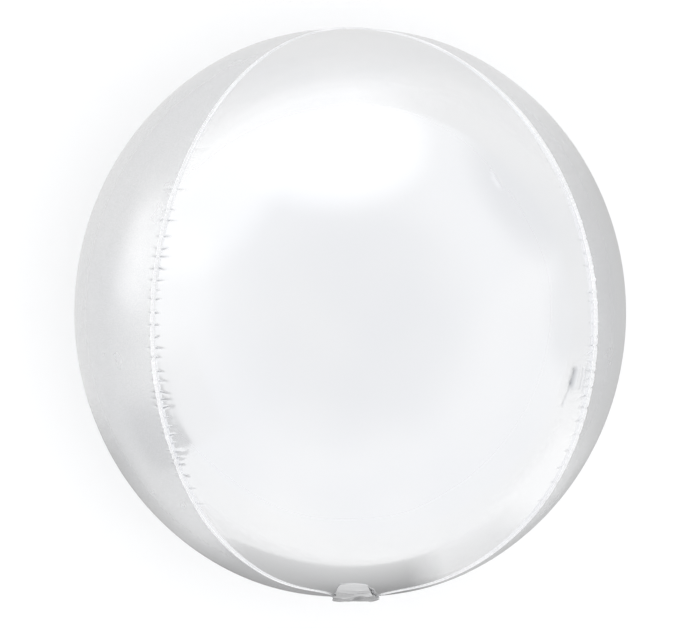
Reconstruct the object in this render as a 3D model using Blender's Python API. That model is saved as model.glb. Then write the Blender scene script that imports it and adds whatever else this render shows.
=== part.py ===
"""An orb foil balloon, lying on its back panel.

Four film panels are heat-sealed to each other along four seams that run from pole to pole. At each
seam the two margins stand outwards as one narrow flange. The filling tail leaves the film at the
lower pole. It is folded there, and lies up against the front panel.

Metres, +Z up. The origin is the middle of the flat patch that the orb rests on. +Y runs from the
tail to the upper pole, the front panel faces +Z, and an azimuth is counted about +Y from the front
panel's middle towards +X. The balloon is sealed, so its panels are solid down to the orb's axis.
"""

import math

import bmesh
import bpy
from mathutils import Matrix, Vector

# The orb
ORB_WIDTH = 0.380
ORB_LENGTH = 0.396
WIDE_PANEL_ANGLE = math.radians(100)
REST_PATCH_RADIUS = 0.028

# The section across the belly stands out at the seams, like a square with very round sides
SEAM_RIDGE = 0.0022
RIDGE_POWER = 5

# The sealed margins
FLANGE_HEIGHT = 0.003
PLY_THICKNESS = 0.0005
SEAM_GAP = 0.0003

# The filling tail
TAIL_WIDTH = 0.032
TAIL_FLAT_HALF = 0.010
TAIL_LAP = 0.078
TAIL_THICKNESS = 0.0012
TAIL_CLEARANCE = 0.0003
TAIL_FOLD_CORNER = 0.004
TAIL_END_CORNER = 0.006

# How finely the round shapes are divided
WIDE_PANEL_SEGMENTS = 20
NARROW_PANEL_SEGMENTS = 16
LATITUDE_RINGS = 34
FLANGE_POINTS = 96
LAP_POINTS = 14
CORNER_SEGMENTS = 5

# What follows from the sizes above
BELLY_RADIUS = ORB_WIDTH / 2
POLE_RADIUS = ORB_LENGTH / 2
SEAM_RADIUS = BELLY_RADIUS + SEAM_RIDGE
WIDE_HALF = WIDE_PANEL_ANGLE / 2
NARROW_HALF = math.pi / 2 - WIDE_HALF
AXIS_HEIGHT = math.sqrt(BELLY_RADIUS**2 - REST_PATCH_RADIUS**2)
ORB_CENTRE = Vector((0, 0, AXIS_HEIGHT))
FLANGE_ROOT = 2 * FLANGE_HEIGHT
TAIL_FACE = POLE_RADIUS + TAIL_CLEARANCE
CUTTER_REACH = 1.5 * ORB_LENGTH

# Each panel's name, the azimuth of its middle and half of the angle that it spans
PANELS = (
    ("front_panel", 0.0, WIDE_HALF),
    ("right_panel", math.pi / 2, NARROW_HALF),
    ("back_panel", math.pi, WIDE_HALF),
    ("left_panel", -math.pi / 2, NARROW_HALF),
)

WHITE_FILM = (0.88, 0.885, 0.90)
SIDE_FILM = (0.80, 0.805, 0.82)
TAIL_FILM = (0.90, 0.90, 0.91)


def clear_scene():
    for obj in list(bpy.data.objects):
        bpy.data.objects.remove(obj, do_unlink=True)


def new_collection(name):
    collection = bpy.data.collections.new(name)
    bpy.context.scene.collection.children.link(collection)
    return collection


def film_material(name, colour, roughness):
    """Glossy white ink on metallised film."""
    material = bpy.data.materials.new(name)
    material.use_nodes = True
    material.diffuse_color = (*colour, 1.0)
    shader = material.node_tree.nodes["Principled BSDF"]
    shader.inputs["Base Color"].default_value = (*colour, 1.0)
    shader.inputs["Metallic"].default_value = 0.35
    shader.inputs["Roughness"].default_value = roughness
    return material


def make_helper(obj):
    """A cutter or a guide is drawn as wires and isn't part of the model."""
    obj.hide_render = True
    obj.display_type = "WIRE"
    return obj


def add_boolean(obj, operation, other):
    modifier = obj.modifiers.new(f"{operation.lower()} {other.name}", "BOOLEAN")
    modifier.operation = operation
    modifier.solver = "EXACT"
    modifier.object = other


def object_of(name, mesh, collection):
    obj = bpy.data.objects.new(name, mesh)
    collection.objects.link(obj)
    return obj


def outline_mesh(name, outlines, half_thickness):
    """A flat plate, with its outlines in X and Y and its thickness in Z, as one closed mesh."""
    curve = bpy.data.curves.new(name, "CURVE")
    curve.dimensions = "2D"
    curve.fill_mode = "BOTH"
    curve.extrude = half_thickness
    for outline in outlines:
        spline = curve.splines.new("POLY")
        spline.points.add(len(outline) - 1)
        for point, (x, y) in zip(spline.points, outline):
            point.co = (x, y, 0, 1)
        spline.use_cyclic_u = True
    guide = bpy.data.objects.new(name, curve)
    bpy.context.scene.collection.objects.link(guide)
    bpy.context.view_layer.update()
    graph = bpy.context.evaluated_depsgraph_get()
    mesh = bpy.data.meshes.new_from_object(guide.evaluated_get(graph))
    bpy.data.objects.remove(guide)
    bpy.data.curves.remove(curve)
    plate = bmesh.new()
    plate.from_mesh(mesh)
    bmesh.ops.remove_doubles(plate, verts=plate.verts, dist=1e-6)
    bmesh.ops.recalc_face_normals(plate, faces=plate.faces)
    plate.to_mesh(mesh)
    plate.free()
    mesh.name = name
    return mesh


def ellipse(across, along, count):
    """The points of an ellipse, with a flat facet at each pole, where two flanges cross."""
    turns = (2 * math.pi * (step + 0.5) / count for step in range(count))
    return [(across * math.cos(turn), along * math.sin(turn)) for turn in turns]


def seam_azimuth(place):
    """Azimuth of a meridian, from its place counted in segments from the front panel's middle.

    The meridians are spread so that one of them always runs along each seam.
    """
    wide, narrow = WIDE_PANEL_SEGMENTS / 2, NARROW_PANEL_SEGMENTS
    count = abs(place)
    if count <= wide:
        azimuth = WIDE_HALF * count / wide
    elif count <= wide + narrow:
        azimuth = WIDE_HALF + 2 * NARROW_HALF * (count - wide) / narrow
    else:
        azimuth = math.pi - WIDE_HALF * (2 * wide + narrow - count) / wide
    return math.copysign(azimuth, place)


def section_radius(azimuth):
    """Radius of the belly's section: least at the middle of a panel, most at a seam."""
    from_front = abs(azimuth)
    if from_front <= WIDE_HALF:
        share = from_front / WIDE_HALF
    elif from_front <= math.pi - WIDE_HALF:
        share = abs(from_front - math.pi / 2) / NARROW_HALF
    else:
        share = (math.pi - from_front) / WIDE_HALF
    return BELLY_RADIUS + SEAM_RIDGE * share**RIDGE_POWER


def orb_mesh():
    """The inflated film as a solid: a sphere whose points are moved out to the film's surface."""
    segments = 2 * (WIDE_PANEL_SEGMENTS + NARROW_PANEL_SEGMENTS)
    orb = bmesh.new()
    bmesh.ops.create_uvsphere(
        orb,
        u_segments=segments,
        v_segments=LATITUDE_RINGS,
        radius=1.0,
        matrix=Matrix.Rotation(-math.pi / 2, 4, "X"),
    )
    for vertex in orb.verts:
        x, y, z = vertex.co
        azimuth = seam_azimuth(math.atan2(x, z) * segments / (2 * math.pi))
        radius = section_radius(azimuth) * math.hypot(x, z)
        vertex.co = ORB_CENTRE + Vector(
            (radius * math.sin(azimuth), POLE_RADIUS * y, radius * math.cos(azimuth))
        )
    bmesh.ops.recalc_face_normals(orb, faces=orb.faces)
    mesh = bpy.data.meshes.new("orb")
    orb.to_mesh(mesh)
    orb.free()
    mesh.shade_smooth()
    return mesh


def flange_ring(name, azimuth, cutters, tail_footprint):
    """The two opposite seams in one plane through the poles, as a ring that stands out of the film."""
    outer = ellipse(SEAM_RADIUS + FLANGE_HEIGHT, POLE_RADIUS + FLANGE_HEIGHT, FLANGE_POINTS)
    inner = ellipse(SEAM_RADIUS - FLANGE_ROOT, POLE_RADIUS - FLANGE_ROOT, FLANGE_POINTS)
    mesh = outline_mesh(name, [outer, inner], PLY_THICKNESS + SEAM_GAP / 2)
    ring = make_helper(object_of(name, mesh, cutters))
    ring.location = ORB_CENTRE
    ring.rotation_euler = (0, azimuth - math.pi / 2, 0)
    add_boolean(ring, "DIFFERENCE", tail_footprint)
    return ring


def box(name, low, high, cutters):
    low, high = Vector(low), Vector(high)
    block = bmesh.new()
    size = Matrix.Diagonal((*(high - low), 1))
    bmesh.ops.create_cube(block, size=1, matrix=Matrix.Translation((low + high) / 2) @ size)
    mesh = bpy.data.meshes.new(name)
    block.to_mesh(mesh)
    block.free()
    return make_helper(object_of(name, mesh, cutters))


def sealed_orb(cutters):
    """The whole sealed envelope, flat where it rests, from which each panel takes its share."""
    orb = make_helper(object_of("sealed_orb", orb_mesh(), cutters))
    side = TAIL_WIDTH / 2 + TAIL_CLEARANCE
    footprint = box(
        "tail_footprint",
        (-side, -CUTTER_REACH, AXIS_HEIGHT - TAIL_FLAT_HALF),
        (side, 0, AXIS_HEIGHT + TAIL_LAP + TAIL_WIDTH),
        cutters,
    )
    for name, azimuth in (("first_flange", WIDE_HALF), ("second_flange", -WIDE_HALF)):
        add_boolean(orb, "UNION", flange_ring(name, azimuth, cutters, footprint))
    below_floor = (-CUTTER_REACH, -CUTTER_REACH, -CUTTER_REACH)
    floor = box("floor", below_floor, (CUTTER_REACH, CUTTER_REACH, 0), cutters)
    add_boolean(orb, "DIFFERENCE", floor)
    return orb


def add_panel(name, azimuth, half_angle, orb, collection, material):
    """One panel: the share of the sealed orb between two seams, with its own ply of each flange."""
    tip = SEAM_GAP / 2 / math.sin(half_angle)
    side = (CUTTER_REACH * math.sin(half_angle), tip + CUTTER_REACH * math.cos(half_angle))
    outline = [(0, tip), side, (0, tip + CUTTER_REACH), (-side[0], side[1])]
    mesh = outline_mesh(name, [outline], CUTTER_REACH)
    # The wedge's outline was drawn in X and Y, and is turned to run along the orb's axis
    mesh.transform(Matrix.Rotation(azimuth, 4, "Y") @ Matrix.Rotation(math.pi / 2, 4, "X"))
    panel = object_of(name, mesh, collection)
    panel.location = ORB_CENTRE
    panel.data.materials.append(material)
    add_boolean(panel, "INTERSECT", orb)


def film_depth(rise):
    """How far the film lies from the orb's middle along -Y, at this height above the axis."""
    return POLE_RADIUS * math.sqrt(1 - (rise / BELLY_RADIUS) ** 2)


def tail_profile():
    """The tail from the side, as (depth, height): flat across the pole, then along the front panel."""
    climb = TAIL_LAP - TAIL_FLAT_HALF
    rises = [TAIL_LAP - climb * step / LAP_POINTS for step in range(LAP_POINTS)]
    above_film = TAIL_FACE - film_depth(TAIL_FLAT_HALF)
    lap = [(film_depth(rise) + above_film, rise) for rise in rises]
    inner = [*lap, (TAIL_FACE, TAIL_FLAT_HALF), (TAIL_FACE, -TAIL_FLAT_HALF)]
    return [*inner, *((depth + TAIL_THICKNESS, rise) for depth, rise in reversed(inner))]


def add_tail(collection, material):
    """A strip of film, with round corners at its fold and at its free end."""
    mesh = outline_mesh("filling_tail", [tail_profile()], TAIL_WIDTH / 2)
    # Depth runs along -Y, height along Z and the extrusion along X
    mesh.transform(Matrix(((0, 0, 1, 0), (-1, 0, 0, 0), (0, 1, 0, 0), (0, 0, 0, 1))))
    strip = bmesh.new()
    strip.from_mesh(mesh)
    bmesh.ops.recalc_face_normals(strip, faces=strip.faces)
    for height, radius in ((-TAIL_FLAT_HALF, TAIL_FOLD_CORNER), (TAIL_LAP, TAIL_END_CORNER)):
        corners = [
            edge
            for edge in strip.edges
            if all(abs(vertex.co.z - height) < TAIL_THICKNESS / 2 for vertex in edge.verts)
            and abs(edge.verts[0].co.x - edge.verts[1].co.x) < TAIL_WIDTH / 2
            and abs(edge.verts[0].co.y - edge.verts[1].co.y) > TAIL_THICKNESS / 2
        ]
        bmesh.ops.bevel(
            strip, geom=corners, offset=radius, segments=CORNER_SEGMENTS, profile=0.5, affect="EDGES"
        )
    strip.to_mesh(mesh)
    strip.free()
    tail = object_of("filling_tail", mesh, collection)
    tail.location = ORB_CENTRE
    tail.data.materials.append(material)


def main():
    clear_scene()
    balloon = new_collection("orb_foil_balloon")
    cutters = new_collection("cutters")
    front_film = film_material("front_film", WHITE_FILM, 0.14)
    side_film = film_material("side_film", SIDE_FILM, 0.30)
    tail_film = film_material("tail_film", TAIL_FILM, 0.20)
    orb = sealed_orb(cutters)
    for name, azimuth, half_angle in PANELS:
        film = front_film if half_angle == WIDE_HALF else side_film
        add_panel(name, azimuth, half_angle, orb, balloon, film)
    add_tail(balloon, tail_film)


main()
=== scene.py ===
# %% [markdown]
# # An orb foil balloon, dressed over its solids
#
# The real object is a round bag of thin white metallised film. Four panels run from pole to pole, and
# each is heat-sealed to its neighbours along a narrow margin that is left standing outwards. When the
# bag is filled, the film between two seams is pressed smooth, and the spare length along each seam
# gathers into short puckers. The bag is filled through a flat tail at the lower pole.
#
# It could be one sphere with a bump texture for the seams. Here each panel is a sheet of its own, cut
# and sealed as the real one is, because the flanges and puckers then stay true from every side.
# The solids of the balloon are loaded first: every new piece is measured from them.

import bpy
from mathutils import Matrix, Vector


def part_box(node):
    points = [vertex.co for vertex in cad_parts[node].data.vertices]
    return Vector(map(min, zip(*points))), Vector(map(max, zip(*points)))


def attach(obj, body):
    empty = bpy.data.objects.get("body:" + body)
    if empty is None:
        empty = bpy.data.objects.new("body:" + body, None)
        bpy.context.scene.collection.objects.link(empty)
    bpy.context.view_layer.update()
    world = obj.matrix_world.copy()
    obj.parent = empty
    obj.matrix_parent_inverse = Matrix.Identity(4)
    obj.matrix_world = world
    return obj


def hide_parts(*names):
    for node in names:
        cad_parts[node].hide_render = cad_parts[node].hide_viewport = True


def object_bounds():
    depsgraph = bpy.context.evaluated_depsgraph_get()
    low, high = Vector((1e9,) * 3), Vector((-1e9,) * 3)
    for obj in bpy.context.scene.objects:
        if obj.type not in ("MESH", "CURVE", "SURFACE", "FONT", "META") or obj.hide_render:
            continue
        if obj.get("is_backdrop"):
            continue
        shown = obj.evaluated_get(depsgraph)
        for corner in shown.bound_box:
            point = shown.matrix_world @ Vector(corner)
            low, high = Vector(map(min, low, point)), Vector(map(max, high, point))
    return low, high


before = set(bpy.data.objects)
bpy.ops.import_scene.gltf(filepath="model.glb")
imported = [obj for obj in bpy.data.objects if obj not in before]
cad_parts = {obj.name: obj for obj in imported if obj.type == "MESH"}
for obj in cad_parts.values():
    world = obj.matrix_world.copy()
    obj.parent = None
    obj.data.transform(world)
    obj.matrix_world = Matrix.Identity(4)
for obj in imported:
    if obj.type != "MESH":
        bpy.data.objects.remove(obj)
cad_low, cad_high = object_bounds()
print("solids:", sorted(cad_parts))
print("box in mm:", [round(1000 * side, 1) for side in cad_high - cad_low])

# %% [markdown]
# ## The sizes that the solids give
#
# The orb's belly radius, its length and the height of its axis are read off the boxes of two panels,
# so they can't drift from the solids. The seam's own sizes are those of a usual foil balloon: a 3 mm
# margin of two plies, each a little over a tenth of a millimetre thick here so that it can be drawn.

# %% Read the main sizes off the solids
import math

import bpy
import numpy as np
from mathutils import Matrix, Vector

# The margin's height, how far the belly stands out at a seam, and how sharply it rises to that
FLANGE_HEIGHT = 0.003
SEAM_RIDGE = 0.0022
RIDGE_POWER = 5
# Half the angle that a panel takes up round the axis: the front and back ones, then the side ones
WIDE_HALF = math.radians(50)
NARROW_HALF = math.radians(40)

front_low, front_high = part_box("front_panel")
right_low, right_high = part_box("right_panel")
AXIS_HEIGHT = (right_low.z + right_high.z) / 2
BELLY_RADIUS = front_high.z - AXIS_HEIGHT
POLE_RADIUS = front_high.y - FLANGE_HEIGHT
MEAN_RADIUS = (BELLY_RADIUS + POLE_RADIUS) / 2
ORB_CENTRE = Vector((0, 0, AXIS_HEIGHT))
main_sizes = (BELLY_RADIUS, POLE_RADIUS, AXIS_HEIGHT)
print("belly, pole and axis height in mm:", [round(1000 * size, 2) for size in main_sizes])

# %% [markdown]
# ## The camera
#
# The balloon lies on its back panel, and the picture is taken from above with a long lens, so that the
# round outline is hardly drawn in. The camera stands a few degrees to the left and towards the upper
# pole, which turns the front panel's middle a little to the right of the picture.
# A camera could be aimed with a Track To constraint. Here its three axes are worked out once, because
# a small roll and a small shift of the aim are then plain numbers.

# %% Aim the camera
CAMERA_SIDE = Vector((-0.1321, 0.0866, 0.9874))
CAMERA_DISTANCE = 3.04
CAMERA_LENS = 226.6
CAMERA_ROLL = math.radians(1.04)
AIM_BELOW = 0.00117
AIM_LEFT = 0.00014

toward_camera = CAMERA_SIDE.normalized()
level_across = Vector((0, 1, 0)).cross(toward_camera).normalized()
level_up = toward_camera.cross(level_across)
camera_up = level_up * math.cos(CAMERA_ROLL) + level_across * math.sin(CAMERA_ROLL)
camera_across = camera_up.cross(toward_camera)
aim = ORB_CENTRE - AIM_BELOW * camera_up - AIM_LEFT * camera_across

bpy.ops.object.camera_add()
camera = bpy.context.object
camera.name = "camera"
camera.data.lens = CAMERA_LENS
camera.data.sensor_width = 36
camera.data.clip_end = 100
axes = Matrix((camera_across, camera_up, toward_camera)).transposed().to_4x4()
camera.matrix_world = Matrix.Translation(aim + CAMERA_DISTANCE * toward_camera) @ axes
bpy.context.scene.camera = camera
print("camera at", [round(v, 3) for v in camera.matrix_world.translation])

# %% [markdown]
# ## The film
#
# The film is thin plastic with a metal layer under pearl white ink and a clear, hard gloss. It isn't a
# perfect mirror: filling leaves it slightly uneven, the sealed margins are ironed matt, and small
# wrinkles run into the film from each seam.
#
# One Principled shader makes the film. The base is part metal, the coat is the clear outer ply, and
# the unevenness comes from noise on Object coordinates. Three values stored on the mesh place the
# rest: the distances from the seam and along it, and how much painted shade goes on the ink, a grey
# that stands in for the shade in creases, dents and the tail's mouth. The ironed margin has a matt
# white shader of its own.

# %% Helpers for materials
def new_material(name):
    """A new material, its node tree and its Principled shader."""
    material = bpy.data.materials.new(name)
    material.use_nodes = True
    tree = material.node_tree
    return material, tree, tree.nodes["Principled BSDF"]


def feed(tree, socket, value):
    """Sets a socket to a number or a colour, or links it to the socket that feeds it."""
    if isinstance(value, bpy.types.NodeSocket):
        tree.links.new(value, socket)
    else:
        socket.default_value = value


def add_node(tree, kind, **inputs):
    """Adds a shader node and feeds the sockets that are named."""
    node = tree.nodes.new(kind)
    for name, value in inputs.items():
        feed(tree, node.inputs[name.replace("_", " ")], value)
    return node


def map_range(tree, value, low, high, new_low, new_high, way="LINEAR"):
    node = tree.nodes.new("ShaderNodeMapRange")
    node.interpolation_type = way
    tree.links.new(value, node.inputs["Value"])
    bounds = zip(("From Min", "From Max", "To Min", "To Max"), (low, high, new_low, new_high))
    for name, bound in bounds:
        node.inputs[name].default_value = bound
    return node.outputs["Result"]


def noise(tree, coordinates, scale, detail=2.0):
    node = add_node(tree, "ShaderNodeTexNoise", Vector=coordinates, Scale=scale, Detail=detail)
    return node.outputs["Fac"]


def mix_colour(tree, factor, first, second):
    node = tree.nodes.new("ShaderNodeMix")
    node.data_type = "RGBA"
    tree.links.new(factor, node.inputs["Factor"])
    for socket, colour in ((node.inputs[6], first), (node.inputs[7], second)):
        linked = isinstance(colour, bpy.types.NodeSocket)
        feed(tree, socket, colour if linked else (*colour, 1.0))
    return node.outputs[2]


def math_node(tree, operation, first, second):
    node = tree.nodes.new("ShaderNodeMath")
    node.operation = operation
    for socket, value in zip(node.inputs, (first, second)):
        feed(tree, socket, value)
    return node.outputs["Value"]


def add_bump(tree, height, distance, strength):
    return add_node(tree, "ShaderNodeBump", Height=height, Distance=distance, Strength=strength)


def stored(tree, name):
    """A value that is stored on the mesh."""
    node = add_node(tree, "ShaderNodeAttribute")
    node.attribute_name = name
    return node.outputs["Fac"]


# %% Make the films
# The grey that paints shade into creases, dents and the tail's mouth
PAINTED_CREASE_SHADE = (0.34, 0.35, 0.37)
COAT_ROUGHNESS = 0.04
# How fine each pattern is: about so many patches or lines in a metre
CLOUDS = 9.0
SPECKS = 1400.0
DULL_PATCHES = 34.0
RIPPLES = 16.0
WRINKLES = 420.0
IRON_RIBS = 700.0
# How high ripples and wrinkles are, and the ribs; and how far the wrinkles run from the seam
WRINKLE_HEIGHT = 0.0004
RIB_HEIGHT = 0.0002
WRINKLE_REACH = 0.009


def film_material(name, colour, shade, metallic, rough, coat, grain):
    """White ink on metallised film, in two whites that cloud into each other."""
    material, tree, shader = new_material(name)
    shader.inputs["Metallic"].default_value = metallic
    shader.inputs["Coat Weight"].default_value = coat
    shader.inputs["Coat Roughness"].default_value = COAT_ROUGHNESS
    place = add_node(tree, "ShaderNodeTexCoord").outputs["Object"]

    # The ink is laid a little unevenly and has a fine grain; painted shade greys it in creases and dents
    cloud = map_range(tree, noise(tree, place, CLOUDS), 0.35, 0.65, 0.0, 1.0)
    speck = map_range(tree, noise(tree, place, SPECKS, 1.0), 0.3, 0.7, -grain, grain)
    ink_and_shade = mix_colour(tree, cloud, colour, shade)
    grey = add_node(tree, "ShaderNodeHueSaturation", Color=ink_and_shade)
    tree.links.new(math_node(tree, "ADD", speck, 1.0), grey.inputs["Value"])
    # Painted shade: the ink turns towards that grey where the stored crease shade is strong
    crease_shaded = mix_colour(tree, stored(tree, "crease_shade"), grey.outputs["Color"], PAINTED_CREASE_SHADE)
    tree.links.new(crease_shaded, shader.inputs["Base Color"])
    uneven = map_range(tree, noise(tree, place, DULL_PATCHES, 3.0), 0.3, 0.7, rough * 0.8, rough * 1.25)
    tree.links.new(uneven, shader.inputs["Roughness"])

    # Fine wrinkles run across the seam and fade within a centimetre; a faint ripple is everywhere
    along = add_node(tree, "ShaderNodeCombineXYZ", X=stored(tree, "along_seam"))
    wrinkle = noise(tree, along.outputs["Vector"], WRINKLES, 2.0)
    near = map_range(tree, stored(tree, "from_seam"), 0.0, WRINKLE_REACH, 1.0, 0.0)
    wrinkles = math_node(tree, "MULTIPLY", wrinkle, near)
    wrinkled = add_bump(tree, wrinkles, WRINKLE_HEIGHT, 0.5)
    rippled = add_bump(tree, noise(tree, place, RIPPLES, 1.0), WRINKLE_HEIGHT, 0.6)
    tree.links.new(wrinkled.outputs["Normal"], rippled.inputs["Normal"])
    for socket in ("Normal", "Coat Normal"):
        tree.links.new(rippled.outputs["Normal"], shader.inputs[socket])
    return material


def margin_material(name, colour, shade):
    """The margin is ironed matt, and the iron leaves fine ribs across it."""
    material, tree, shader = new_material(name)
    shader.inputs["Roughness"].default_value = 0.42
    along = add_node(tree, "ShaderNodeCombineXYZ", X=stored(tree, "along_seam"))
    ribs = noise(tree, along.outputs["Vector"], IRON_RIBS, 1.0)
    rib = map_range(tree, ribs, 0.35, 0.65, 0.0, 1.0)
    tree.links.new(mix_colour(tree, rib, colour, shade), shader.inputs["Base Color"])
    ribbed = add_bump(tree, rib, RIB_HEIGHT, 0.6)
    tree.links.new(ribbed.outputs["Normal"], shader.inputs["Normal"])
    return material


# Each film has two whites; then come how metallic, how rough, how glossily coated and how grainy it is
panel_film = film_material("panel_film", (0.90, 0.903, 0.91), (0.86, 0.868, 0.885), 0.72, 0.10, 1.0, 0.006)
# The side film is the panels' film, rougher and grainier, with darker whites that are painted shade for
# the greyer look of the side panels
side_film = film_material("side_film", (0.78, 0.783, 0.79), (0.74, 0.746, 0.76), 0.60, 0.22, 0.6, 0.08)
tail_film = film_material("tail_film", (0.84, 0.84, 0.845), (0.74, 0.745, 0.755), 0.38, 0.17, 0.9, 0.01)
margin_film = margin_material("margin_film", (0.97, 0.97, 0.975), (0.86, 0.862, 0.87))
print("films:", panel_film.name, side_film.name, tail_film.name, margin_film.name)

# %% [markdown]
# ## The seams
#
# Two neighbouring panels share one seam, so a pucker is one thing that both of them show: a narrow
# dent that starts at the seam, runs a few millimetres into the film and fades. At each pucker the
# margin kinks sideways and dips. The picture shows the two front seams closely, and their puckers are
# placed from it, in millimetres along the seam from the belly towards the upper pole. The seams at
# the back are out of sight and get drawn ones. A fixed seed makes them the same in every run.
#
# The gathers could be a cloth simulation of the flat panels under pressure. Placed dents are used
# instead, because they can follow the picture and stay as sharp as the real ones.

# %% Lay out the puckers of each seam
MILLIMETRE = 0.001
LEFT_FRONT = (
    127, 113, 97, 83, 75, 64.2, 55.5, 50.9, 43.6, 35.1, 29.2, 22.7, 14.3, 6.5, -1.9, -8.5, -14.5,
    -23.7, -30.2, -37.0, -42.5, -48.6, -55.0, -61.9, -68.0, -73.6, -80.1, -84.5, -89.3, -97, -108, -121,
)
RIGHT_FRONT = (
    120, 104, 92, 78, 66, 54.3, 45, 36, 27.5, 19.5, 12.5, 7.1, -1.5, -9.4, -15.4, -20.1, -26.7, -32.8,
    -37.6, -42.9, -49.2, -57, -66.7, -76, -88.9, -101, -113, -128,
)
SEAM_END = 0.25 * math.tau * MEAN_RADIUS
DRAWN_REACH = 0.150
DRAWN_STEPS = (0.0055, 0.0115)
FAINTEST_PUCKER = 0.12


def drawn_places(draw):
    """Puckers at uneven steps, up to DRAWN_REACH to both sides of the belly."""
    places = [-DRAWN_REACH]
    while places[-1] < DRAWN_REACH:
        places.append(places[-1] + draw.uniform(*DRAWN_STEPS))
    return np.array(places[:-1])


def strength_along(places, low, high, soft):
    """1 between low and high, fading to 0 over the distance soft beyond them."""
    outside = np.maximum(low - places, 0) + np.maximum(places - high, 0)
    return np.clip(1 - outside / soft, 0, 1)


def make_seam(seed, places, reach, line):
    """One seam's puckers: their places, sizes, slants and painted shade lines. reach tells where they are
    strong.
    """
    draw = np.random.default_rng(seed)
    if places is None:
        places = drawn_places(draw)
    else:
        places = np.array(places) * MILLIMETRE
    count = len(places)
    strength = FAINTEST_PUCKER + (1 - FAINTEST_PUCKER) * strength_along(places, *reach)
    return {
        "reach": reach,
        "place": places,
        "depth": strength * draw.uniform(0.40, 0.90, count) * MILLIMETRE,
        "width": draw.uniform(0.55, 0.80, count) * MILLIMETRE,
        "length": draw.uniform(6.0, 10.5, count) * MILLIMETRE,
        "slant": draw.uniform(-0.22, 0.30, count),
        "kink": strength * draw.uniform(-0.6, 0.6, count) * MILLIMETRE,
        "long": draw.uniform(0, 1, count) < 0.22,
        "line": strength * line * draw.uniform(0.5, 1.1, count),
        "dip": strength * draw.uniform(-0.30, 0.30, count),
    }


# The last value is how dark the painted shade lines in the seam's puckers are
SEAMS = {
    "left_front": make_seam(3, LEFT_FRONT, (-0.090, 0.066, 0.050), 1.0),
    "right_front": make_seam(5, RIGHT_FRONT, (-0.100, 0.030, 0.080), 0.55),
    "right_back": make_seam(7, None, (-0.090, 0.070, 0.060), 0.8),
    "left_back": make_seam(11, None, (-0.090, 0.070, 0.060), 0.8),
}
for name, seam in SEAMS.items():
    print(name, "has", len(seam["place"]), "puckers")

# %% [markdown]
# ## A panel, from a flat blank
#
# The real panel starts as a flat leaf of film. Here it starts as a grid primitive. Its columns become
# the lines that run from pole to pole, and its rows run across. Three columns at each side are the
# margin that stands up as the flange, two more turn the corner at its root, and the next ones lie
# close together, because the puckers need them. Then the columns widen towards the middle.
#
# A sphere primitive could be cut into four instead, but its rows and columns are evenly spaced, and
# it would need ten times the faces to show a pucker one millimetre wide.

# %% Columns and rows of the blank
# Height above the film and distance from the seam's plane, from the margin's edge to its root
MARGIN = ((3.0, 0.13), (2.0, 0.13), (1.1, 0.13), (0.45, 0.20), (0.12, 0.5))
# Distance from the seam of the next columns, first close and then widening; all in millimetres
NEAR_SEAM = (1.0, 1.7, 2.5, 3.4, 4.5, 6.0, 8.0, 11.0)
WIDENING = (15.0, 21.0, 29.0, 39.0)
WIDEST_STEP = 12.0
# How many rows the blank has, how many become one in the middle, and half the width of a panel's tip
ROWS = 1296
ROWS_IN_ONE = 6
TIP_WIDTH = 0.05 * MILLIMETRE


def column_layout(half_width):
    """Height and distance from the seam of each column of half a panel, out to the panel's middle."""
    heights = [height for height, distance in MARGIN]
    distances = [distance for height, distance in MARGIN]
    distances += [*NEAR_SEAM, *WIDENING]
    steps = round((half_width / MILLIMETRE - distances[-1]) / WIDEST_STEP)
    distances += list(np.linspace(distances[-1], half_width / MILLIMETRE, steps + 1)[1:])
    heights += [0.0] * (len(distances) - len(heights))
    return np.array(heights) * MILLIMETRE, np.array(distances) * MILLIMETRE


def section_radius(share):
    """The belly's section stands out at the seams; share is 0 at a panel's middle and 1 at a seam."""
    return BELLY_RADIUS + SEAM_RIDGE * share**RIDGE_POWER


def add_blank(name, columns, rows):
    """A flat grid, 2 units wide and long, with that many columns and rows of faces."""
    bpy.ops.object.select_all(action="DESELECT")
    bpy.ops.mesh.primitive_grid_add(x_subdivisions=columns, y_subdivisions=rows, size=2)
    blank = bpy.context.object
    blank.name = name
    blank.data.name = name
    return blank


def read(elements, what, size=1, kind=float):
    """One value for each of a mesh's elements, or a row of size values."""
    values = np.empty(size * len(elements), kind)
    elements.foreach_get(what, values)
    return values.reshape(-1, size) if size > 1 else values


def points_of(piece):
    return read(piece.data.vertices, "co", 3)


# %% Shape of the film beside a seam
# The painted shade line in a pucker: its length as a share of the pucker's, and half its width
LINE_SHARE = 0.85
LINE_HALF_WIDTH = 0.45 * MILLIMETRE
LONG_PUCKER_DEPTH = 0.16 * MILLIMETRE
BULGE_HEIGHT = 0.28 * MILLIMETRE
BULGE_RISE = 1.6 * MILLIMETRE
BULGE_REACH = 9 * MILLIMETRE


def pucker_depth(seam, along, distance):
    """How far the puckers press the film in, at these places along the seam and away from it."""
    depth = np.zeros(along.shape)
    for k, place in enumerate(seam["place"]):
        reach = seam["length"][k]
        fade = np.clip(distance / reach, 0, 1)
        width = seam["width"][k] * (0.75 + 0.7 * fade)
        beside = np.abs(along - place - seam["slant"][k] * distance)
        shape = np.exp(-np.minimum(beside / width, 5) ** 1.3)
        depth += seam["depth"][k] * (1 - fade) ** 1.5 * (1 + 1.5 * fade) * shape
        # A few puckers run on, three times as far into the film, as a shallow trough
        if seam["long"][k]:
            far = np.clip(distance / (3 * reach), 0, 1)
            wide = beside / (2.6 * seam["width"][k])
            depth += LONG_PUCKER_DEPTH * (1 - far) ** 2 * np.exp(-np.minimum(wide, 6) ** 2)
    return depth


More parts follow.
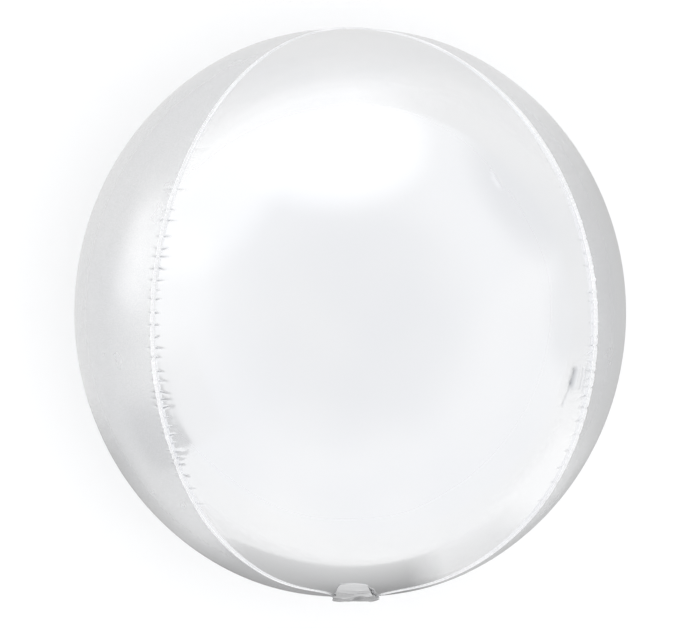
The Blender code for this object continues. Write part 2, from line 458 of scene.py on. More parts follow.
def pucker_shade_line(seam, along, distance):
    """The painted shade line at the bottom of each pucker, from 0 to 1; it fades out into the film."""
    line = np.zeros(along.shape)
    for k, place in enumerate(seam["place"]):
        fade = np.clip(distance / (LINE_SHARE * seam["length"][k]), 0, 1)
        offset = (along - place - seam["slant"][k] * distance) / LINE_HALF_WIDTH
        line += seam["line"][k] * (1 - fade**2) * np.exp(-(offset**2))
    return np.clip(line, 0, 1)


def bulge(seam, along, distance):
    """Between the puckers the spare film stands proud, for a centimetre beside the seam."""
    strength = strength_along(along, *seam["reach"])
    rise = 1 - np.exp(-distance / BULGE_RISE)
    return BULGE_HEIGHT * strength * rise * np.exp(-((distance / BULGE_REACH) ** 2))


def at_puckers(seam, what, along, spread):
    """One of the seam's values, felt at its pucker and fading to both sides."""
    total = np.zeros(along.shape)
    for place, value, width in zip(seam["place"], seam[what], seam["width"]):
        total += value * np.exp(-(((along - place) / (spread * width)) ** 2))
    return total


def margin_kink(seam, along):
    """How far the margin's edge leans sideways."""
    # Two slow waves keep the edge from looking ruled between the puckers
    slow = 0.12 * MILLIMETRE * np.sin(along / 0.0173) + 0.08 * MILLIMETRE * np.sin(along / 0.0061 + 2)
    return at_puckers(seam, "kink", along, 1.6) + slow


def margin_dip(seam, along):
    """How much lower, or higher, the margin's edge is, as a share of its height."""
    return np.clip(at_puckers(seam, "dip", along, 1.2), -0.35, 0.4)


# %% [markdown]
# The blank is wrapped onto the orb: each point gets an azimuth from its column and a latitude from its
# row, then moves in or out with the puckers of the nearer seam. Towards the poles the columns close up
# without crossing, the tips of the panels are drawn in a little, and the margin gets lower, until it
# lies down under the tail. The tail also pulls the place where the four seams meet towards the front,
# and the two front seams bow on their way to its sides. That only slides the points along the film:
# the orb keeps its shape. The back panel is pressed flat where the balloon rests.

# %% Find the smooth film's points
# By how many orb radii the tail pulls the seams' meeting place, and how far the film follows
TAIL_PULL = (-0.03, 0.0, 0.13)
TAIL_PULL_REACH = math.radians(55)
# How much the front seams bow, where they bow most, and between which cosines of the turn it grows
BOW = 0.085
BOW_PLACE = math.radians(10)
BOW_FROM = -0.5
BOW_UP_TO = 0.6


def eased(share):
    """A share from 0 to 1, with a soft start and a soft end."""
    return share**2 * (3 - 2 * share)


def on_the_orb(turn, share, latitude):
    """The smooth film's points, from the orb's middle, and the outward directions there."""
    belt = np.cos(latitude)
    place = np.stack((belt * np.sin(turn), np.sin(latitude), belt * np.cos(turn)), 1)
    from_tail = latitude + 0.5 * math.pi
    near_tail = eased(np.clip(1 - from_tail / TAIL_PULL_REACH, 0, 1))
    place += near_tail[:, None] * np.array(TAIL_PULL)
    beside_tail = from_tail / BOW_PLACE
    in_front = eased(np.clip((np.cos(turn) - BOW_FROM) / (BOW_UP_TO - BOW_FROM), 0, 1))
    place[:, 2] += BOW * (beside_tail * np.exp(1 - beside_tail)) ** 3 * in_front
    place /= np.linalg.norm(place, axis=1)[:, None]
    radius = section_radius(share)
    sizes = np.stack((radius, np.full(len(radius), POLE_RADIUS), radius), 1)
    outward = place / sizes
    outward /= np.linalg.norm(outward, axis=1)[:, None]
    return place * sizes, outward


# %% Wrap a blank onto the orb
# Which way each panel faces, as an angle round the orb's axis
FRONT = 0.0
RIGHT = 0.5 * math.pi
BACK = math.pi
LEFT = -0.5 * math.pi
# How softly the resting patch begins, and how far below the floor's level it is set
REST_SOFTNESS = 0.0011
REST_DIP = 0.12 * REST_SOFTNESS
# Up to this distance from the lower pole the margin lies down, to a share of its height. Elsewhere it
# grows from the low share to its full height, between two distances from a pole
MARGIN_CLEAR_OF_TAIL = 0.0225
FLATTENED_MARGIN = 0.12
LOW_MARGIN = 0.24
LOW_MARGIN_REACH = (0.050, 0.260)
# How far the panels' tips are drawn in, over which length, and at which half width puckers fade
POLE_DRAW = 0.0020
POLE_DRAW_REACH = 0.050
NARROW_TIP = 0.012


def store(piece, name, values):
    """Keeps one value for each point of the piece, for its material to read."""
    layer = piece.data.attributes.new(name, "FLOAT", "POINT")
    layer.data.foreach_set("value", values.astype(np.float32))


def wrap_blank(blank, azimuth, half_angle, before, after):
    """Moves the blank's points onto the orb. before and after are the seams at its two sides."""
    flat = points_of(blank)
    count = len(flat)
    half_width = BELLY_RADIUS * half_angle
    heights, distances = column_layout(half_width)
    last = len(distances) - 1
    column = np.rint((flat[:, 0] + 1) * last).astype(int)
    side = np.where(column <= last, -1.0, 1.0)
    from_edge = np.where(column <= last, column, 2 * last - column)
    height = heights[from_edge]
    distance = distances[from_edge]

    # Latitude from the row; the last row stops where the panel is as narrow as its tip
    last_latitude = math.acos(TIP_WIDTH / half_width)
    latitude = flat[:, 1] * last_latitude
    along = MEAN_RADIUS * latitude
    width = half_width * np.cos(latitude)
    distance = distance / (1 + distance / half_width * (half_width / width - 1))
    share = 1 - distance / width
    angle = side * share * half_angle

    # Each half of the panel follows the puckers of its own seam
    depth, crease_shade, lean, dip = np.zeros((4, count))
    for seam, edge in ((before, -1.0), (after, 1.0)):
        mine = side == edge
        depth[mine] += pucker_depth(seam, along[mine], distance[mine])
        depth[mine] -= bulge(seam, along[mine], distance[mine])
        crease_shade[mine] = pucker_shade_line(seam, along[mine], distance[mine])
        lean[mine] = margin_kink(seam, along[mine])
        dip[mine] = margin_dip(seam, along[mine])

    # The margin stands up fully at the belly only; puckers and kinks fade out in the narrow tips
    rise = height / FLANGE_HEIGHT
    to_pole = SEAM_END - np.abs(along)
    fade_in = np.clip(width / NARROW_TIP, 0, 1)
    low_reach, full_reach = LOW_MARGIN_REACH
    upright = np.clip((to_pole - low_reach) / (full_reach - low_reach), 0, 1)
    upright = LOW_MARGIN + (1 - LOW_MARGIN) * upright
    under_tail = (along < 0) & (to_pole < MARGIN_CLEAR_OF_TAIL)
    height = height * np.where(under_tail, FLATTENED_MARGIN, upright) * (1 - dip * rise)
    depth = depth * (1 - 0.5 * rise) * fade_in
    depth += POLE_DRAW * np.exp(-((to_pole / POLE_DRAW_REACH) ** 2))

    turn = angle + azimuth
    film, outward = on_the_orb(turn, share, latitude)
    sideways = np.stack((np.cos(turn), np.zeros(count), -np.sin(turn)), 1)
    shift = lean * rise**1.3 * fade_in
    points = film + outward * (height - depth)[:, None] + sideways * shift[:, None]
    points[:, 2] += AXIS_HEIGHT
    if azimuth == BACK:
        lifted = 0.5 * (points[:, 2] + np.hypot(points[:, 2], REST_SOFTNESS))
        points[:, 2] = lifted - REST_DIP
    blank.data.vertices.foreach_set("co", points.ravel())
    store(blank, "from_seam", distance - FLANGE_HEIGHT * rise)
    store(blank, "along_seam", along)
    # Painted shade along the puckers' lines, kept off the margin
    store(blank, "crease_shade", crease_shade * (rise == 0))
    blank.data.update()


# %% [markdown]
# Only the puckers need the close rows. Away from the seam five rows in six are dissolved, as one would
# by hand in edit mode, which takes away two thirds of the faces and changes nothing that shows.
# Solidify then gives the sheet its thickness inwards, so the shape that was measured stays outside.

# %% Lighten the middle and give the film a thickness
FILM_THICKNESS = 0.12 * MILLIMETRE
VERTICES, EDGES, FACES = range(3)


def edit_chosen(mesh, kind, chosen, operator, **options):
    """Selects only the chosen elements of one kind, and runs an edit mode operator on them."""
    elements = (mesh.vertices, mesh.edges, mesh.polygons)
    for each in elements:
        each.foreach_set("select", np.zeros(len(each), bool))
    elements[kind].foreach_set("select", chosen)
    bpy.context.tool_settings.mesh_select_mode = (kind == VERTICES, kind == EDGES, kind == FACES)
    bpy.ops.object.mode_set(mode="EDIT")
    operator(**options)
    bpy.ops.object.mode_set(mode="OBJECT")


def dissolve_middle_rows(panel, row_of_vertex, middle_vertex):
    """Dissolves the rows that aren't kept, between the columns of the panel's middle."""
    ends = read(panel.data.edges, "vertices", 2, int)
    rows = row_of_vertex[ends]
    across = rows[:, 0] == rows[:, 1]
    inside = middle_vertex[ends].all(axis=1)
    spare = across & inside & (rows[:, 0] % ROWS_IN_ONE != 0)
    edit_chosen(panel.data, EDGES, spare, bpy.ops.mesh.dissolve_edges, use_verts=True)


def make_thick(sheet, thickness, thin_group="", thin_share=0.0):
    """Adds the sheet's inner side and cut edges, thinner where the vertex group is weak."""
    solidify = sheet.modifiers.new("thickness", "SOLIDIFY")
    solidify.thickness = thickness
    solidify.offset = -1
    solidify.vertex_group = thin_group
    solidify.thickness_vertex_group = thin_share
    bpy.ops.object.modifier_apply(modifier=solidify.name)


def paint_margin(panel):
    """Gives the margin's faces the panel's second material, the matt one."""
    mesh = panel.data
    from_seam = read(mesh.attributes["from_seam"].data, "value")
    corners = read(mesh.loops, "vertex_index", kind=int)
    starts = read(mesh.polygons, "loop_start", kind=int)
    farthest = np.maximum.reduceat(from_seam[corners], starts)
    mesh.polygons.foreach_set("material_index", (farthest < 0).astype(int))


def triangles_of(piece):
    piece.data.calc_loop_triangles()
    return len(piece.data.loop_triangles)


# %% [markdown]
# Handling leaves marks on a foil balloon. The front panel has a small crumple beside the right seam
# and a pinch near the upper right. Each is a few short folds: a fold runs from one place to another,
# with a depth (or a height, if it stands proud) and a width. The mesh is subdivided only there, and the
# new points are put back on the round film before they are pressed in.

# %% Press the marks of handling into the front panel
# The ends of each fold, as degrees round from the panel's middle and millimetres along from the
# belly; then its half width and depth in millimetres, and how much painted shade greys its ink
FOLDS = (
    ((44.4, -30.5), (43.9, -39.0), 2.8, 1.20, 0.75),
    ((43.6, -39.0), (41.8, -53.3), 0.9, 0.45, 0.40),
    ((47.1, -30.0), (46.9, -43.3), 0.7, 0.40, 0.35),
    ((48.4, -29.0), (48.0, -45.0), 1.2, 0.45, 0.25),
    ((28.6, 106.0), (29.6, 92.5), 0.9, -0.50, 0.0),
    ((28.1, 101.5), (29.3, 96.0), 0.8, -0.40, 0.0),
    ((31.0, 95.0), (31.3, 87.0), 0.7, -0.30, 0.0),
)
# The middle of each marked spot, in the same way, and its radius in millimetres
SPOTS = (((44.2, -41.0), 17.0), ((29.6, 97.0), 12.5))
SPOT_CUTS = 4
# The folds fade within this many millimetres outside a spot, and stay this far off the seam
SPOT_SPARE = 6
MARKS_OFF_SEAM = 2.0 * MILLIMETRE


def place_on_front(points):
    """Turn, share and latitude of points that lie on or near the front panel."""
    level = points[:, 2] - AXIS_HEIGHT
    turn = np.arctan2(points[:, 0], level)
    share = np.abs(turn) / WIDE_HALF
    off_axis = np.hypot(points[:, 0], level) / section_radius(share)
    latitude = np.arctan2(points[:, 1] / POLE_RADIUS, off_axis)
    return turn, share, latitude


def off_the_seam(turn, latitude):
    """How far these places of the front panel are from the nearer seam."""
    return (1 - np.abs(turn) / WIDE_HALF) * WIDE_HALF * BELLY_RADIUS * np.cos(latitude)


def flat_place(turn, latitude):
    """The same place in millimetres: round the belt and along the seam."""
    return turn * np.cos(latitude) * BELLY_RADIUS / MILLIMETRE, latitude * MEAN_RADIUS / MILLIMETRE


def spot_place(place):
    """A place of the lists above, in the same millimetres."""
    latitude = place[1] * MILLIMETRE / MEAN_RADIUS
    return np.array(flat_place(math.radians(place[0]), latitude))


def in_spots(turn, latitude, spare):
    """Which points lie off the seam and in a marked spot, or up to spare millimetres outside it."""
    across, along = flat_place(turn, latitude)
    inside = np.zeros(len(turn), bool)
    for middle, radius in SPOTS:
        place = spot_place(middle)
        inside |= np.hypot(across - place[0], along - place[1]) < radius + spare
    return inside & (off_the_seam(turn, latitude) > MARKS_OFF_SEAM)


def subdivide_spots(panel):
    """Subdivides the faces of the marked spots."""
    turn, _, latitude = place_on_front(read(panel.data.polygons, "center", 3))
    chosen = in_spots(turn, latitude, 0)
    edit_chosen(panel.data, FACES, chosen, bpy.ops.mesh.subdivide, number_cuts=SPOT_CUTS)


def press_marks(panel):
    """Presses the folds into the marked spots, with the puckers of the seam beside them."""
    mesh = panel.data
    points = points_of(panel)
    turn, share, latitude = place_on_front(points)
    near = np.flatnonzero(in_spots(turn, latitude, SPOT_SPARE))
    turn, share, latitude = turn[near], share[near], latitude[near]
    across, along = flat_place(turn, latitude)
    film, outward = on_the_orb(turn, share, latitude)
    seam = SEAMS["right_front"]
    from_belly = latitude * MEAN_RADIUS
    from_seam = off_the_seam(turn, latitude)
    depth = pucker_depth(seam, from_belly, from_seam) - bulge(seam, from_belly, from_seam)
    crease_shade = pucker_shade_line(seam, from_belly, from_seam)
    for start, end, half_width, fold_depth, ink_and_shade in FOLDS:
        first, last = spot_place(start), spot_place(end)
        run = last - first
        offset = np.stack((across, along), 1) - first
        reached = np.clip(offset @ run / (run @ run), 0, 1)
        away = np.linalg.norm(offset - reached[:, None] * run, axis=1)
        shape = np.exp(-((away / half_width) ** 1.5))
        depth += fold_depth * MILLIMETRE * shape
        # Painted shade greys the ink along each fold
        crease_shade += ink_and_shade * shape
    points[near] = film - outward * depth[:, None]
    points[near, 2] += AXIS_HEIGHT
    mesh.vertices.foreach_set("co", points.ravel())
    for name, values in (("from_seam", from_seam), ("along_seam", from_belly), ("crease_shade", crease_shade)):
        layer = mesh.attributes[name].data
        kept = read(layer, "value", kind=np.float32)
        kept[near] = np.clip(values, -1, 1)
        layer.foreach_set("value", kept)
    mesh.update()
    print("marked points:", len(near))


# %% Make the four panels
# Edges that turn by more than this stay sharp
CREASE_ANGLE = math.radians(62)


def make_panel(name, node, azimuth, half_angle, before, after, film, slot):
    """One panel of the balloon, from the blank to the finished sheet."""
    columns = 2 * (len(column_layout(BELLY_RADIUS * half_angle)[1]) - 1)
    panel = add_blank(name, columns, ROWS)
    flat = points_of(panel)
    row = np.rint((flat[:, 1] + 1) / 2 * ROWS).astype(int)
    column = np.rint((flat[:, 0] + 1) * (columns // 2)).astype(int)
    close = len(MARGIN) + len(NEAR_SEAM) - 1
    middle = (column >= close) & (column <= columns - close)
    wrap_blank(panel, azimuth, half_angle, SEAMS[before], SEAMS[after])
    dissolve_middle_rows(panel, row, middle)
    if azimuth == FRONT:
        subdivide_spots(panel)
        press_marks(panel)
    make_thick(panel, FILM_THICKNESS)
    bpy.ops.object.shade_smooth_by_angle(angle=CREASE_ANGLE)
    panel.data.materials.append(film)
    panel.data.materials.append(margin_film)
    paint_margin(panel)
    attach(panel, "root")
    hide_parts(node)
    print(name, "has", triangles_of(panel), "triangles")


# Each panel's name and node, which way it faces, half its angle, the seams at its sides and its film
PANELS = (
    ("front_film", "front_panel", FRONT, WIDE_HALF, "left_front", "right_front", panel_film, "panel_film"),
    ("right_film", "right_panel", RIGHT, NARROW_HALF, "right_front", "right_back", side_film, "side_film"),
    ("back_film", "back_panel", BACK, WIDE_HALF, "right_back", "left_back", panel_film, "panel_film"),
    ("left_film", "left_panel", LEFT, NARROW_HALF, "left_back", "left_front", side_film, "side_film"),
)
for panel in PANELS:
    make_panel(*panel)

# %% [markdown]
# ## The filling tail
#
# Two plies of film, sealed along both sides, make a flat tube about 32 mm wide. After filling it is
# pressed against the balloon and folded up over the front panel. The plies never lie quite flat: the
# middle stays a little puffed, creases cross it where it was bent, and its mouth stays open.
#
# Its blank is a grid too. The creases and the puff are worked out along and across it, which keeps
# the sealed sides straight, as a simulated strip wouldn't.

# %% The tail's sizes
# Its width at the root and at its end, and the height above the axis from which on it narrows
TAIL_WIDTH = 0.032
TAIL_TOP_WIDTH = 0.0195
TAIL_NARROWS_FROM = 0.030
# How far it reaches below the axis and up the front panel, and how far its end leans to the left
TAIL_FLAT_HALF = 0.010
TAIL_LAP = 0.083
TAIL_LEAN = 0.0125
# How far its end bows out, from which height on, and over how much of the height
TAIL_TOP_BOW = 0.0035
TAIL_BOW_FROM = 0.060
TAIL_BOW_OVER = 0.018
# Its gap to the balloon, its middle's lift and its thickness where it is puffed
TAIL_GAP = 0.0004
TAIL_LIFT = 0.0005
TAIL_THICKNESS = 0.0022
# As shares: the thickness of a sealed side, its width, and the puff that is left far from the pole
SEALED_THICKNESS = 0.12
SEALED_SIDE = 0.16
PUFF_LEFT = 0.35
# Over this length its end is pressed down
TAIL_END = 0.010
TAIL_COLUMNS = 72
TAIL_ROWS = 200
# Each fold of the tail: height above the axis, size, width and slant, the first three in millimetres
TAIL_FOLDS = (
    (8, 0.15, 3.0, 0.08),
    (20, 0.20, 3.2, -0.12),
    (33, 0.20, 3.4, 0.18),
    (45, 0.25, 3.0, -0.22),
    (57, 0.45, 2.6, 0.25),
    (68, 0.40, 2.8, -0.12),
)
# Each bump of the tail: x and height of its middle, half width, half height and size, in millimetres
TAIL_BUMPS = (
    (1.5, 62, 3.0, 5.0, 0.9),
    (8.0, 34, 3.0, 12.0, 0.7),
    (-14.0, 30, 6.0, 16.0, 0.3),
    (-5.7, 67, 4.2, 2.2, -0.6),
)
# The open mouth of the tail, a dent with painted shade for its dark inside: x and height of its middle,
# half width and half height, in millimetres
TAIL_MOUTH = (-4.8, 48, 3.4, 12.0)
# Between which x and which heights the crinkles lie, in millimetres, and how many there are
CRINKLES_ACROSS = (-16, 8)
CRINKLES_UP = (5, 76)
TAIL_CRINKLES = 26


# %% The tail's outline and relief
def tail_outline(blank):
    """The blank's points: their share of the way across, from -1 to 1, their x and their height."""
    flat = points_of(blank)
    across, length = flat[:, 0], (flat[:, 1] + 1) / 2
    rise = -TAIL_FLAT_HALF + (TAIL_LAP + TAIL_FLAT_HALF) * length
    narrowing = np.clip((rise - TAIL_NARROWS_FROM) / (TAIL_LAP - TAIL_NARROWS_FROM), 0, 1)
    half = 0.5 * (TAIL_WIDTH - (TAIL_WIDTH - TAIL_TOP_WIDTH) * narrowing**1.5)
    wavy = 0.0004 * np.sin(rise / 0.0041) + 0.0002 * np.sin(rise / 0.0019 + 1)
    lean = TAIL_LEAN * np.clip(rise / TAIL_LAP, 0, 1) ** 1.2
    x = across * (half + wavy * np.sign(across)) - lean
    top_bow = TAIL_TOP_BOW * (1 - across**2) * np.clip((rise - TAIL_BOW_FROM) / TAIL_BOW_OVER, 0, 1)
    return across, x, rise + top_bow


def oval(x, up, middle, place, half_width, half_height):
    """The square of the distance from an oval's middle: 1 on its edge."""
    return ((x - middle) / half_width) ** 2 + ((up - place) / half_height) ** 2


def tail_relief(x, up, bowed, seal):
    """The tail's lift, its painted shade and the share of its puff that stays, at x and up in mm."""
    lift = TAIL_LIFT * bowed
    crease_shade = np.zeros(len(x))
    left_puffed = np.ones(len(x))
    for place, size, spread, slant in TAIL_FOLDS:
        offset = (up - place - slant * x) / spread
        lift += size * MILLIMETRE * bowed * np.exp(-np.abs(offset) ** 1.3)
        left_puffed *= 1 - 0.6 * np.exp(-(offset**2) * 3)
        # Painted shade in the valley beside each fold
        valley = (up - place - 1.6 * spread - slant * x) / (0.35 * spread)
        crease_shade += 0.10 * np.exp(-(valley**2)) * seal
    for *spot, size in TAIL_BUMPS:
        bump = np.exp(-(oval(x, up, *spot) ** 1.5))
        lift += size * MILLIMETRE * bump
        # A dent, a bump of negative size, gets painted shade
        crease_shade += 0.35 * bump * (size < 0)

    # Crinkles: short sharp ridges that run every way over the film
    draw = np.random.default_rng(17)
    for _ in range(TAIL_CRINKLES):
        middle, place = draw.uniform(*CRINKLES_ACROSS), draw.uniform(*CRINKLES_UP)
        way = draw.uniform(-0.9, 0.9)
        along_ridge = (x - middle) * math.cos(way) + (up - place) * math.sin(way)
        off_ridge = (up - place) * math.cos(way) - (x - middle) * math.sin(way)
        ridge = np.exp(-np.abs(off_ridge) / 1.3 - (along_ridge / draw.uniform(3, 9)) ** 2)
        lift += draw.uniform(-0.45, 0.65) * MILLIMETRE * ridge

    # The mouth is pressed in, and painted shade darkens it
    mouth = np.exp(-(oval(x, up, *TAIL_MOUTH) ** 2))
    return lift * (1 - 0.85 * mouth), crease_shade + 0.7 * mouth, left_puffed


# %% Make the filling tail
def wrap_tail(blank):
    """Lays the blank up the front panel and returns how far each point is puffed, from 0 to 1."""
    across, x, rise = tail_outline(blank)

    # The film's surface under the tail, and the direction that points away from it
    bowed = np.sqrt(np.maximum(BELLY_RADIUS**2 - x**2, 0)) / BELLY_RADIUS
    depth = POLE_RADIUS * np.sqrt(1 - (rise / BELLY_RADIUS) ** 2) * bowed
    normal = np.stack((x / BELLY_RADIUS**2, -depth / POLE_RADIUS**2, rise / BELLY_RADIUS**2), 1)
    normal /= np.linalg.norm(normal, axis=1)[:, None]

    seal = np.clip((1 - np.abs(across)) / SEALED_SIDE, 0, 1)
    bowed_across = 1 - 0.6 * across**2
    lift, crease_shade, left_puffed = tail_relief(x / MILLIMETRE, rise / MILLIMETRE, bowed_across, seal)
    near_pole = np.exp(-((np.hypot(x, rise) / POLE_DRAW_REACH) ** 2))
    puff = seal**0.7 * (PUFF_LEFT + (1 - PUFF_LEFT) * near_pole) * left_puffed

    # The end of the tail lies close to the balloon
    to_end = np.clip((TAIL_LAP + TAIL_TOP_BOW * (1 - across**2) - rise) / TAIL_END, 0, 1)
    puff *= 0.15 + 0.85 * to_end
    lift = (np.maximum(lift, 0) + TAIL_GAP) * (0.03 + 0.97 * to_end)
    points = np.stack((x, -depth, rise), 1) + normal * lift[:, None]
    points[:, 2] += AXIS_HEIGHT
    blank.data.vertices.foreach_set("co", points.ravel())
    store(blank, "from_seam", (seal - 0.5) * 0.002)
    store(blank, "along_seam", rise)
    # The painted shade of folds, dents and mouth, for the film's material
    store(blank, "crease_shade", np.clip(crease_shade, 0, 1))
    blank.data.update()
    return puff


tail = add_blank("tail_film_strip", TAIL_COLUMNS, TAIL_ROWS)
puffed = wrap_tail(tail)
plies_apart = tail.vertex_groups.new(name="puff")
for index, amount in enumerate(puffed):
    plies_apart.add([index], float(amount), "REPLACE")
make_thick(tail, TAIL_THICKNESS, "puff", SEALED_THICKNESS)
bpy.ops.object.shade_smooth_by_angle(angle=math.radians(50))
tail.data.materials.append(tail_film)
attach(tail, "root")
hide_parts("filling_tail")
print("tail has", triangles_of(tail), "triangles")

# %% [markdown]
# ## Floor and light
#
# The balloon lies on a plain white floor. Foil shows its surroundings, so most of the light is a pale
# sky with a few soft areas that are brighter or darker than the rest, and the film mirrors them.
# Area lights could do that too, but foil would show their edges as hard shapes.

# %% Add the floor
FLOOR_SIDE = 14
FLOOR_WHITES = ((0.95, 0.95, 0.95), (0.94, 0.94, 0.94))

bpy.ops.object.select_all(action="DESELECT")
bpy.ops.mesh.primitive_plane_add(size=FLOOR_SIDE, location=(0, 0, 0))
floor = bpy.context.object
floor.name = "floor"
floor_paint, floor_tree, floor_shader = new_material("floor_paint")
floor_shader.inputs["Roughness"].default_value = 0.8
floor_shader.inputs["Specular IOR Level"].default_value = 0.0
floor_place = add_node(floor_tree, "ShaderNodeTexCoord").outputs["Object"]
floor_mottle = map_range(floor_tree, noise(floor_tree, floor_place, 3.0), 0.3, 0.7, 0.0, 1.0)
floor_colour = mix_colour(floor_tree, floor_mottle, *FLOOR_WHITES)
floor_tree.links.new(floor_colour, floor_shader.inputs["Base Color"])
floor.data.materials.append(floor_paint)
floor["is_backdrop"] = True
print("floor:", FLOOR_SIDE, "m wide")

# %% Light the sky
SKY_LEVEL = 0.97
# Each soft area of the sky: where it stands as x, y and z, the cosines of the angles where it is
# at full strength and where it has faded out, and how much brighter or darker than the sky it is
SOFT_AREAS = (
    ("overhead", (-0.10, 0.05, 1.00), 0.97, 0.45, -0.10),
    ("upper", (-0.08, 0.95, 0.25), 0.96, 0.81, 0.24),
    ("upper left", (-0.75, 0.62, 0.05), 0.96, 0.84, 0.12),
    ("left", (-0.97, 0.15, 0.10), 0.985, 0.90, 0.05),
    ("upper right", (0.85, 0.53, 0.00), 0.985, 0.90, -0.13),
    ("right", (0.99, -0.05, -0.05), 0.99, 0.955, -0.09),
)


def soft_area(tree, direction, place, full, faded, strength):
    """Brightness that falls off smoothly round one direction of the sky."""
    towards = tree.nodes.new("ShaderNodeVectorMath")
    towards.operation = "DOT_PRODUCT"
    tree.links.new(direction, towards.inputs[0])
    towards.inputs[1].default_value = Vector(place).normalized()
    return map_range(tree, towards.outputs["Value"], faded, full, 0, strength, "SMOOTHSTEP")


world = bpy.data.worlds.new("pale_sky")
bpy.context.scene.world = world
world.use_nodes = True
sky_tree = world.node_tree
sky_direction = add_node(sky_tree, "ShaderNodeTexCoord").outputs["Generated"]
sky_light = SKY_LEVEL
for name, *area in SOFT_AREAS:
    sky_light = math_node(sky_tree, "ADD", soft_area(sky_tree, sky_direction, *area), sky_light)
sky = sky_tree.nodes["Background"]
sky.inputs["Color"].default_value = (0.985, 0.99, 1.0, 1.0)
sky_tree.links.new(sky_light, sky.inputs["Strength"])
bpy.context.scene.view_settings.view_transform = "Standard"
print("soft areas of the sky:", [area[0] for area in SOFT_AREAS])

# %% [markdown]
# A glossy thing is lit by what it mirrors, so a photographer also puts cards and boards round it, just
# outside the picture. Here each card is a plane on the floor whose material shows only a sector of it.
# A pale sheet lies under the others, and darker ones at the balloon's lower and right side draw the
# film's rim, which would vanish against the white floor. Two boards stand beyond the lower left, each
# with one soft and one leaning side. Only reflections show the cards and boards: the camera doesn't,
# and the floor isn't lit by them. One broad sun gives the soft shadow.

# %% The values of the fill light, the cards and the boards
FILL_STRENGTH = 1.02
FILL_ANGLE = math.radians(120)
CARD_STEP = 0.0008
ALL_ROUND = 360
# Each card is a sector round the balloon, and lies on the one before: its two sides in degrees from +X,
# and how many degrees each takes to fade; its near and far edge in metres, and how much each takes to
# fade; its brightness near and far; and how much farther its far edge gets with each radian round
CARDS = (
    ("pale_sheet", (0, ALL_ROUND), (0, 0), (0, 12.0), (0, 0.1), (0.95, 0.97), 0),
    ("upper_card", (72, 172), (15, 8), (0.95, 12.0), (0.8, 0.1), (1.06, 1.12), 0),
    ("right_sheet", (-25, 75), (15, 15), (0.7, 12.0), (0.3, 0.1), (0.86, 0.84), 0),
    ("ring_card", (0, ALL_ROUND), (0, 0), (0, 1.15), (0, 0.7), (0.77, 0.77), 0),
    ("left_card", (145, 184), (10, 12), (0.50, 1.8), (0.2, 0.8), (1.25, 1.25), 0),
    ("lower_left_card", (199, 219.6), (8, 0.5), (0.45, 2.5), (0.1, 0.1), (0.62, 0.76), 0),
    ("lower_right_card", (304, 336), (10, 8), (0.42, 2.2), (0.15, 1.0), (1.03, 1.0), 0),
    ("right_card", (-40, 45), (15, 25), (0.1, 0.75), (0, 0.2), (0.52, 0.60), 0),
    ("under_card", (200, 345), (15, 20), (0, 0.42), (0, 0.1), (0.30, 0.60), 0),
    ("lower_card", (238, 292), (10, 8), (0.2, 0.80), (0, 0.03), (0.24, 0.62), 0.3),
)
# Each board stands up and faces the balloon: the directions of its two sides, over which share of
# its width its first side fades, how far away it is, how high it reaches and how bright it is; then
# how much its second side leans, and how much its top slopes down to that side
BOARDS = (
    ("tall_board", (180, 221), 0.5, 2.6, 1.2, 0.93, 0.10, 0.0),
    ("low_board", (190, 221), 0.3, 2.5, 0.52, 0.60, 0.16, 0.53),
)
# The leaning side and the top fade over this share of the board's half width or half height
BOARD_FADE = 0.04


# %% Helpers for cards and boards
def clear_material(name):
    """A material without a shader, its tree, and its surface's place on the object's own axes."""
    material, tree, shader = new_material(name)
    tree.nodes.remove(shader)
    place = add_node(tree, "ShaderNodeTexCoord").outputs["Object"]
    return material, tree, add_node(tree, "ShaderNodeSeparateXYZ", Vector=place).outputs


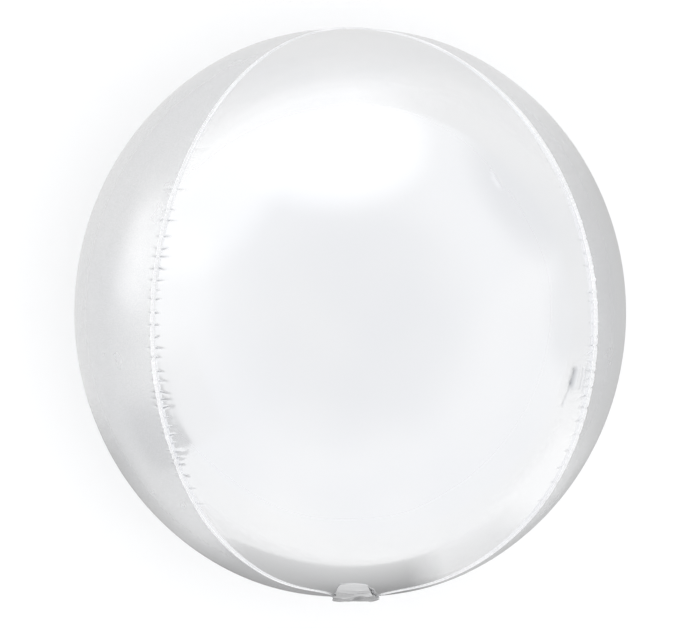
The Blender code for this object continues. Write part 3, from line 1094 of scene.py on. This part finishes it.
def finish_card(card, material, shown, level):
    """Lets the card glow where it is shown, and only into reflections."""
    tree = material.node_tree
    glow = add_node(tree, "ShaderNodeEmission", Strength=level)
    clear = add_node(tree, "ShaderNodeBsdfTransparent")
    both = add_node(tree, "ShaderNodeMixShader", Fac=shown)
    tree.links.new(clear.outputs[0], both.inputs[1])
    tree.links.new(glow.outputs[0], both.inputs[2])
    tree.links.new(both.outputs[0], tree.nodes["Material Output"].inputs["Surface"])
    card.data.materials.append(material)
    card.visible_camera = False
    card.visible_diffuse = False
    card.visible_shadow = False
    card.visible_transmission = False
    card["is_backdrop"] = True


def add_card(layer, name, sides, soft_sides, edges, soft_edges, levels, widening):
    """A glowing card that lies on the floor and fades towards its sides and edges."""
    near, far = edges
    limit = math.radians(sides[1] - sides[0]) / 2
    reach = far + widening * limit
    bpy.ops.mesh.primitive_plane_add(size=2 * reach, location=(0, 0, layer * CARD_STEP))
    card = bpy.context.object
    card.name = name
    # The card's own +X points along its middle, so no side meets the half turn where angles jump
    card.rotation_euler = (0, 0, math.radians(sum(sides) / 2))
    material, tree, place = clear_material(name)
    angle = math_node(tree, "ARCTAN2", place["Y"], place["X"])
    squares = [math_node(tree, "MULTIPLY", place[axis], place[axis]) for axis in "XY"]
    distance = math_node(tree, "SQRT", math_node(tree, "ADD", *squares), 0)
    if widening:
        distance = math_node(tree, "SUBTRACT", distance, math_node(tree, "MULTIPLY", angle, widening))
    shown = map_range(tree, distance, far - soft_edges[1], far, 1, 0)
    if soft_edges[0]:
        near_edge = map_range(tree, distance, near, near + soft_edges[0], 0, 1)
        shown = math_node(tree, "MULTIPLY", near_edge, shown)
    if sides[1] - sides[0] < ALL_ROUND:
        for turn_way, soft in zip((-1, 1), soft_sides):
            from_middle = math_node(tree, "MULTIPLY", angle, turn_way)
            side = map_range(tree, from_middle, limit - math.radians(soft), limit, 1, 0)
            shown = math_node(tree, "MULTIPLY", side, shown)
    finish_card(card, material, shown, map_range(tree, distance, near, far, *levels))


def add_board(name, sides, soft_share, distance, height, level, lean, slope):
    """A glowing board that stands on the floor at that distance and faces the balloon."""
    middle = math.radians(sum(sides) / 2)
    half_width = distance * math.tan(math.radians((sides[1] - sides[0]) / 2))
    foot = (distance * math.cos(middle), distance * math.sin(middle), height / 2)
    bpy.ops.mesh.primitive_plane_add(size=2, location=foot)
    board = bpy.context.object
    board.name = name
    board.scale = (half_width, height / 2, 1)
    board.rotation_euler = (math.pi / 2, 0, middle + math.pi / 2)
    material, tree, place = clear_material(name)
    across, up = place["X"], place["Y"]
    leaning = math_node(tree, "ADD", across, math_node(tree, "MULTIPLY", up, lean))
    sloping = math_node(tree, "ADD", up, math_node(tree, "MULTIPLY", across, slope))
    first_side = map_range(tree, across, -1, 2 * soft_share - 1, 0, 1)
    second_side = map_range(tree, leaning, 1 - lean - BOARD_FADE, 1 - lean, 1, 0)
    top_edge = 1 - slope / 2
    top = map_range(tree, sloping, top_edge, top_edge + BOARD_FADE, 1, 0)
    both_sides = math_node(tree, "MULTIPLY", first_side, second_side)
    finish_card(board, material, math_node(tree, "MULTIPLY", both_sides, top), level)


# %% Add the fill light, the cards and the boards
bpy.ops.object.light_add(type="SUN", location=(0, 0, 3))
fill = bpy.context.object
fill.name = "fill_light"
fill.data.angle = FILL_ANGLE
fill.data.energy = FILL_STRENGTH
fill.visible_glossy = False

bpy.ops.object.select_all(action="DESELECT")
for layer, card in enumerate(CARDS, 1):
    add_card(layer, *card)
for board in BOARDS:
    add_board(*board)
print("cards and boards:", [card[0] for card in (*CARDS, *BOARDS)])

# %% [markdown]
# ## Sizes
#
# The dressed balloon has to stay the size of its solids, so how far it reaches beyond them on each side is
# printed.

# %% Print how far the balloon reaches beyond its solids
low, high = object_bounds()
beyond = (*(cad_low - low), *(high - cad_high))
print("larger than the solids by, in mm:", [round(1000 * side, 2) for side in beyond])
